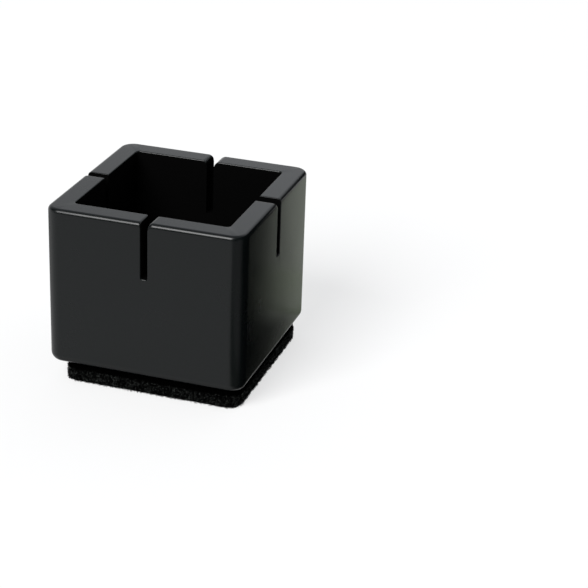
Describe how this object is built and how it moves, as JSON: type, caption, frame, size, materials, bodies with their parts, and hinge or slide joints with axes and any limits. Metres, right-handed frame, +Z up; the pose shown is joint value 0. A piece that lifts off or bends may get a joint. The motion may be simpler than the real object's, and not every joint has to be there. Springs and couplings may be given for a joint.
{
  "type": "chair leg cap",
  "caption": "Square slip-on rubber cap for a chair leg, slotted at the middle of each wall so its corners spread and grip, with a felt pad under its floor.",
  "frame": {"origin": "on the ground, under the middle of the felt pad", "axes": "+Z up along the chair leg, +X to the right and -Y to the front as pictured"},
  "size_m": [0.0326, 0.0326, 0.0296],
  "materials": {
    "rubber": "black moulded rubber, smooth satin",
    "felt": "black needled felt, fibrous",
    "adhesive": "double-sided adhesive film"
  },
  "bodies": {
    "cup": {"sleeve_cup": "rubber", "adhesive_film": "adhesive", "felt_pad": "felt"},
    "jaw_front_left": {"grip_jaw_front_left": "rubber"},
    "jaw_front_right": {"grip_jaw_front_right": "rubber"},
    "jaw_back_right": {"grip_jaw_back_right": "rubber"},
    "jaw_back_left": {"grip_jaw_back_left": "rubber"}
  },
  "joints": [
    {"name": "flex_front_left", "type": "hinge", "parent": "cup", "child": "jaw_front_left", "pos_m": [-0.0156, -0.0156, 0.0206], "axis": [0.7071, -0.7071, 0], "range_deg": [0, 7], "stiffness_Nm_per_rad": 0.5},
    {"name": "flex_front_right", "type": "hinge", "parent": "cup", "child": "jaw_front_right", "pos_m": [0.0156, -0.0156, 0.0206], "axis": [0.7071, 0.7071, 0], "range_deg": [0, 7], "stiffness_Nm_per_rad": 0.5},
    {"name": "flex_back_right", "type": "hinge", "parent": "cup", "child": "jaw_back_right", "pos_m": [0.0156, 0.0156, 0.0206], "axis": [-0.7071, 0.7071, 0], "range_deg": [0, 7], "stiffness_Nm_per_rad": 0.5},
    {"name": "flex_back_left", "type": "hinge", "parent": "cup", "child": "jaw_back_left", "pos_m": [-0.0156, 0.0156, 0.0206], "axis": [-0.7071, -0.7071, 0], "range_deg": [0, 7], "stiffness_Nm_per_rad": 0.5}
  ]
}
